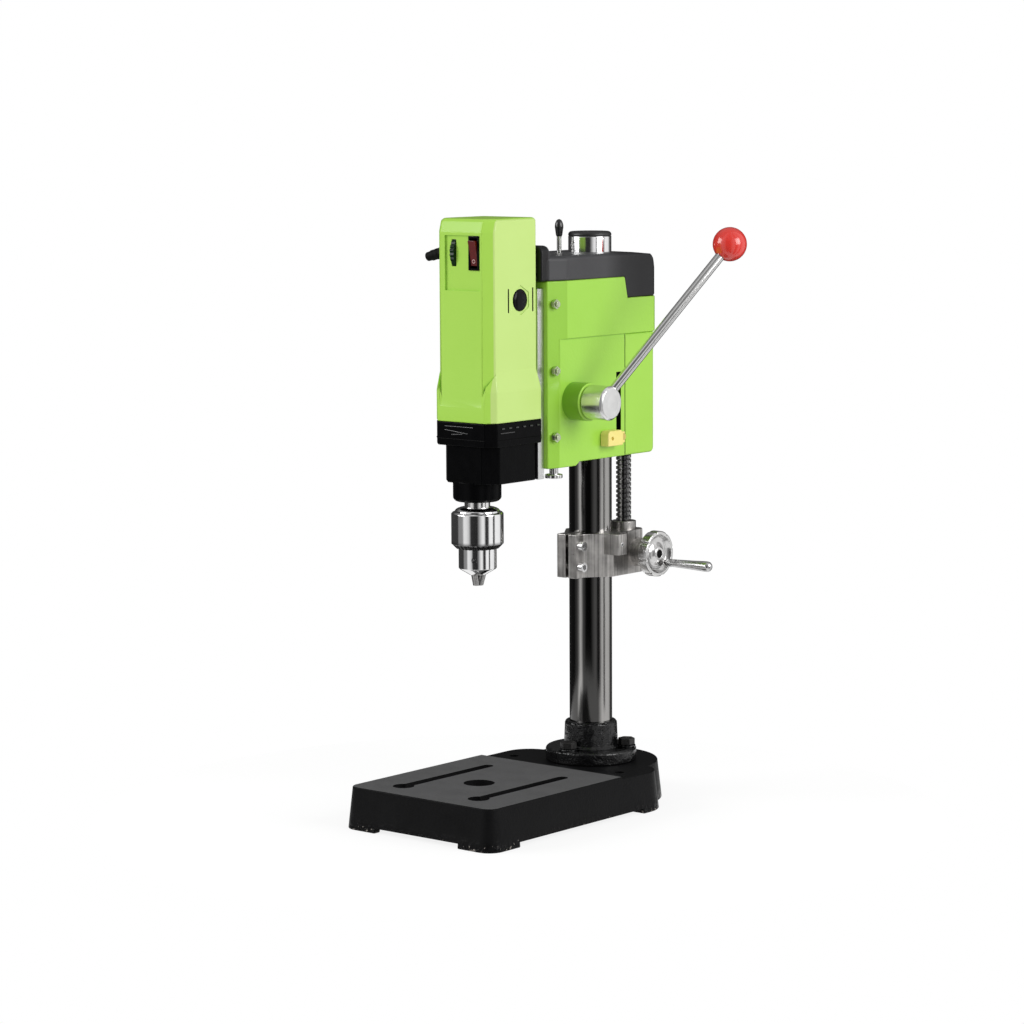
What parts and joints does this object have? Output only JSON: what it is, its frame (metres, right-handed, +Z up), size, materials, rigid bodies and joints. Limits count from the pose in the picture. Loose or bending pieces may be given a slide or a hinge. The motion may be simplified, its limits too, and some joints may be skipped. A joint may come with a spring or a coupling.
{
  "type": "benchtop drill press",
  "caption": "Benchtop drill press: cast base with slotted table, chromed column, geared screw lift, green head with lever feed, sliding motor unit and keyed chuck.",
  "frame": {"origin": "where the column axis meets the bench, in the plane of the base's feet", "axes": "+Z up along the column, -Y forward to the spindle, +X to the side of the feed lever and the handwheel"},
  "size_m": [0.2706, 0.357, 0.617],
  "materials": {
    "black_cast": "satin black enamel on cast iron, machined on the table",
    "black_paint": "gloss black enamel on cast iron",
    "black_oxide": "black oxide steel",
    "chrome": "polished chrome plate",
    "bracket_alloy": "milled aluminium",
    "turned_alloy": "turned aluminium",
    "steel": "ground steel",
    "green_cast": "lime green enamel on an aluminium casting",
    "green_plastic": "lime green moulded plastic",
    "black_plastic": "satin black moulded plastic",
    "gearbox_black": "satin black paint on an aluminium casting",
    "rubber": "matt black rubber",
    "red_plastic": "glossy red plastic",
    "dark_red_plastic": "glossy dark red plastic",
    "dark_green_plastic": "glossy dark green plastic",
    "yellow_plastic": "yellow moulded plastic",
    "bronze": "cast bronze",
    "copper": "copper",
    "carbon": "graphite",
    "iron": "laminated iron"
  },
  "bodies": {
    "stand": {"base": "black_cast", "column_flange": "black_paint", "flange_bolts": "black_oxide", "column": "chrome", "column_plug": "black_plastic"},
    "lift_bracket": {"lift_bracket": "bracket_alloy", "bracket_screws": "steel"},
    "lead_screw": {"lead_screw": "black_oxide", "screw_bevel": "steel"},
    "handwheel": {"handwheel": "turned_alloy", "wheel_shaft": "steel", "wheel_bevel": "steel", "grip_pin": "steel"},
    "wheel_grip": {"wheel_grip": "turned_alloy"},
    "head": {"head_casting": "green_cast", "rear_cover": "green_cast", "top_cap": "black_plastic", "gib_strip": "steel", "gib_screws": "steel", "lift_nut": "bronze", "stop_stud": "chrome", "spring_cup": "black_plastic", "return_spring": "steel"},
    "lock_lever": {"lock_rod": "steel", "lock_knob": "black_plastic"},
    "feed_lever": {"feed_shaft": "steel", "feed_pinion": "steel", "feed_hub": "turned_alloy", "lever_rod": "steel", "lever_ball": "red_plastic"},
    "depth_stop": {"stop_block": "yellow_plastic", "stop_screw": "steel"},
    "carriage": {"slide": "steel", "rack": "steel", "motor_housing": "green_plastic", "field_coil": "copper", "carbon_brushes": "carbon", "brush_caps": "black_plastic", "cable_sleeve": "rubber", "switch_bezel": "black_plastic", "bearing_plate": "bracket_alloy", "gearbox": "gearbox_black", "motor_bearings": "steel", "spindle_bearings": "steel"},
    "speed_dial": {"speed_dial": "dark_green_plastic"},
    "rocker": {"rocker": "dark_red_plastic"},
    "armature": {"armature_shaft": "steel", "armature_core": "iron", "commutator": "copper", "motor_fan": "black_plastic"},
    "layshaft": {"layshaft": "steel"},
    "spindle": {"spindle": "steel", "spindle_gear": "steel", "chuck_body": "chrome"},
    "chuck_sleeve": {"chuck_sleeve": "chrome", "chuck_nut": "steel"},
    "chuck_jaw_1": {"chuck_jaw_1": "steel"},
    "chuck_jaw_2": {"chuck_jaw_2": "steel"},
    "chuck_jaw_3": {"chuck_jaw_3": "steel"}
  },
  "joints": [
    {"name": "bracket_swing", "type": "hinge", "parent": "stand", "child": "lift_bracket", "pos_m": [0, 0, 0.262], "axis": [0, 0, 1], "range_deg": [-90, 90]},
    {"name": "head_lift", "type": "slide", "parent": "lift_bracket", "child": "head", "axis": [0, 0, 1], "range_m": [-0.06, 0.015]},
    {"name": "lead_screw_turn", "type": "hinge", "parent": "lift_bracket", "child": "lead_screw", "pos_m": [0.013, 0.04, 0.3], "axis": [0, 0, 1], "range_deg": [-1080, 4320]},
    {"name": "handwheel_turn", "type": "hinge", "parent": "lift_bracket", "child": "handwheel", "pos_m": [0.053, 0.04, 0.26], "axis": [1, 0, 0], "range_deg": [-4320, 1080]},
    {"name": "wheel_grip_spin", "type": "hinge", "parent": "handwheel", "child": "wheel_grip", "pos_m": [0.08, 0.05497, 0.24913], "axis": [1, 0, 0], "continuous": true},
    {"name": "lock_lever_turn", "type": "hinge", "parent": "head", "child": "lock_lever", "pos_m": [-0.02, -0.026, 0.58], "axis": [0, 0, 1], "range_deg": [0, 180]},
    {"name": "depth_stop_slide", "type": "slide", "parent": "head", "child": "depth_stop", "axis": [0, 0, 1], "range_m": [0, 0.058]},
    {"name": "spindle_feed", "type": "slide", "parent": "head", "child": "carriage", "axis": [0, 0, 1], "range_m": [-0.062, 0], "stiffness_N_per_m": 300, "springref_m": 0.2},
    {"name": "feed_lever_turn", "type": "hinge", "parent": "head", "child": "feed_lever", "pos_m": [0, -0.082, 0.429], "axis": [1, 0, 0], "range_deg": [0, 178]},
    {"name": "speed_dial_turn", "type": "hinge", "parent": "carriage", "child": "speed_dial", "pos_m": [-0.0105, -0.1862, 0.583], "axis": [1, 0, 0], "range_deg": [-135, 135]},
    {"name": "rocker_tilt", "type": "hinge", "parent": "carriage", "child": "rocker", "pos_m": [0.016, -0.202, 0.583], "axis": [-1, 0, 0], "range_deg": [0, 20]},
    {"name": "armature_spin", "type": "hinge", "parent": "carriage", "child": "armature", "pos_m": [0, -0.157, 0.48], "axis": [0, 0, 1], "continuous": true},
    {"name": "layshaft_spin", "type": "hinge", "parent": "carriage", "child": "layshaft", "pos_m": [0.01315, -0.16929, 0.395], "axis": [0, 0, 1], "continuous": true},
    {"name": "spindle_spin", "type": "hinge", "parent": "carriage", "child": "spindle", "pos_m": [0, -0.183, 0.36], "axis": [0, 0, 1], "continuous": true},
    {"name": "chuck_sleeve_turn", "type": "hinge", "parent": "spindle", "child": "chuck_sleeve", "pos_m": [0, -0.183, 0.3], "axis": [0, 0, 1], "range_deg": [0, 3600]},
    {"name": "jaw_1_slide", "type": "slide", "parent": "spindle", "child": "chuck_jaw_1", "axis": [0, -0.2588, 0.9659], "range_m": [0, 0.01864]},
    {"name": "jaw_2_slide", "type": "slide", "parent": "spindle", "child": "chuck_jaw_2", "axis": [0.2241, 0.1294, 0.9659], "range_m": [0, 0.01864]},
    {"name": "jaw_3_slide", "type": "slide", "parent": "spindle", "child": "chuck_jaw_3", "axis": [-0.2241, 0.1294, 0.9659], "range_m": [0, 0.01864]}
  ],
  "couplings": [
    {"joint": "lead_screw_turn", "follows": "head_lift", "rad_per_m": -1256.6},
    {"joint": "handwheel_turn", "follows": "head_lift", "rad_per_m": 1256.6},
    {"joint": "feed_lever_turn", "follows": "spindle_feed", "rad_per_m": -50},
    {"joint": "layshaft_spin", "follows": "armature_spin", "ratio": -0.28571},
    {"joint": "spindle_spin", "follows": "armature_spin", "ratio": 0.10204},
    {"joint": "jaw_1_slide", "follows": "chuck_sleeve_turn", "m_per_rad": 0.00029658},
    {"joint": "jaw_2_slide", "follows": "chuck_sleeve_turn", "m_per_rad": 0.00029658},
    {"joint": "jaw_3_slide", "follows": "chuck_sleeve_turn", "m_per_rad": 0.00029658}
  ]
}
